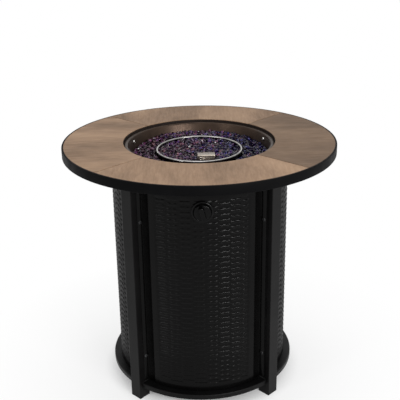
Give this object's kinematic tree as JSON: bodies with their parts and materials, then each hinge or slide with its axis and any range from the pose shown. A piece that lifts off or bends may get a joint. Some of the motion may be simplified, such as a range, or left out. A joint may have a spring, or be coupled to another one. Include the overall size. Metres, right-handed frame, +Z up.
{
  "type": "gas fire pit table",
  "caption": "Round gas fire pit table: tiled steel top, drop-in fire bowl with ring burner, woven-pattern drum casing on legs, turning push-in gas knob and hinged rear door.",
  "frame": {"origin": "on the floor under the middle of the table", "axes": "+Z up, the control knob faces -Y, the rear door faces +Y"},
  "size_m": [0.762, 0.762, 0.711],
  "materials": {
    "black_coat": "semi-gloss powder coat",
    "woven_panel": "pressed weave pattern, semi-gloss powder coat",
    "leg_coat": "fine-textured powder coat",
    "porcelain": "matt wood-look porcelain",
    "bowl_steel": "heat-tinted stainless",
    "stainless": "plain stainless",
    "polished_steel": "polished stainless",
    "zinc": "zinc plated",
    "fire_glass": "broken tempered glass, violet to blue",
    "electrode_ceramic": "plain ceramic",
    "brass": "turned",
    "aluminium_tube": "drawn tube",
    "aluminium_cast": "die cast",
    "copper_tube": "copper capillary",
    "knob_plastic": "satin black",
    "bezel_metal": "semi-gloss black",
    "lead_rubber": "silicone sleeve",
    "glide_plastic": "moulded",
    "magnet": "magnet in its housing"
  },
  "bodies": {
    "pit_body": {"tabletop_frame": "black_coat", "table_braces": "black_coat", "tabletop_nuts": "zinc", "tile_front": "porcelain", "tile_right": "porcelain", "tile_rear": "porcelain", "tile_left": "porcelain", "fire_bowl": "bowl_steel", "bowl_screws": "zinc", "burner": "stainless", "burner_locknut": "zinc", "guard_ring": "polished_steel", "fire_glass_outer": "fire_glass", "fire_glass_inner": "fire_glass", "igniter_hood": "stainless", "igniter_bracket": "stainless", "spark_electrode": "electrode_ceramic", "thermocouple": "stainless", "heat_shield": "zinc", "shield_spacers": "zinc", "air_mixer": "zinc", "gas_orifice": "brass", "gas_tube": "aluminium_tube", "tube_nuts": "brass", "gas_valve": "aluminium_cast", "gas_inlet": "brass", "valve_bracket": "zinc", "knob_bezel": "bezel_metal", "ignition_lead": "lead_rubber", "thermocouple_lead": "copper_tube", "front_panel": "woven_panel", "left_panel": "woven_panel", "right_panel": "woven_panel", "panel_screws": "zinc", "leg_hinge_leaves": "zinc", "hinge_pins": "stainless", "door_magnet": "magnet", "leg_glides": "glide_plastic", "upper_ring": "black_coat", "leg_bolts": "zinc", "foot_bolts": "zinc", "base_tray": "black_coat", "base_brackets": "black_coat", "tank_collar": "black_coat", "leg_front_left": "leg_coat", "leg_cover_front_left": "leg_coat", "leg_front_right": "leg_coat", "leg_cover_front_right": "leg_coat", "leg_rear_right": "leg_coat", "leg_cover_rear_right": "leg_coat", "leg_rear_left": "leg_coat", "leg_cover_rear_left": "leg_coat"},
    "push_collar": {"stem_plunger": "brass"},
    "knob": {"control_knob": "knob_plastic", "valve_stem": "brass"},
    "door": {"rear_door": "woven_panel", "door_hinge_leaves": "zinc", "door_pull": "knob_plastic", "pull_nut": "zinc"}
  },
  "joints": [
    {"name": "knob_push", "type": "slide", "parent": "pit_body", "child": "push_collar", "axis": [0, 1, 0], "range_m": [0, 0.004], "stiffness_N_per_m": 400, "springref_m": -0.01},
    {"name": "knob_turn", "type": "hinge", "parent": "push_collar", "child": "knob", "pos_m": [0, -0.25, 0.593], "axis": [0, -1, 0], "range_deg": [0, 180]},
    {"name": "door_swing", "type": "hinge", "parent": "pit_body", "child": "door", "pos_m": [0.16016, 0.19481, 0.3675], "axis": [0, 0, -1], "range_deg": [0, 105]}
  ]
}
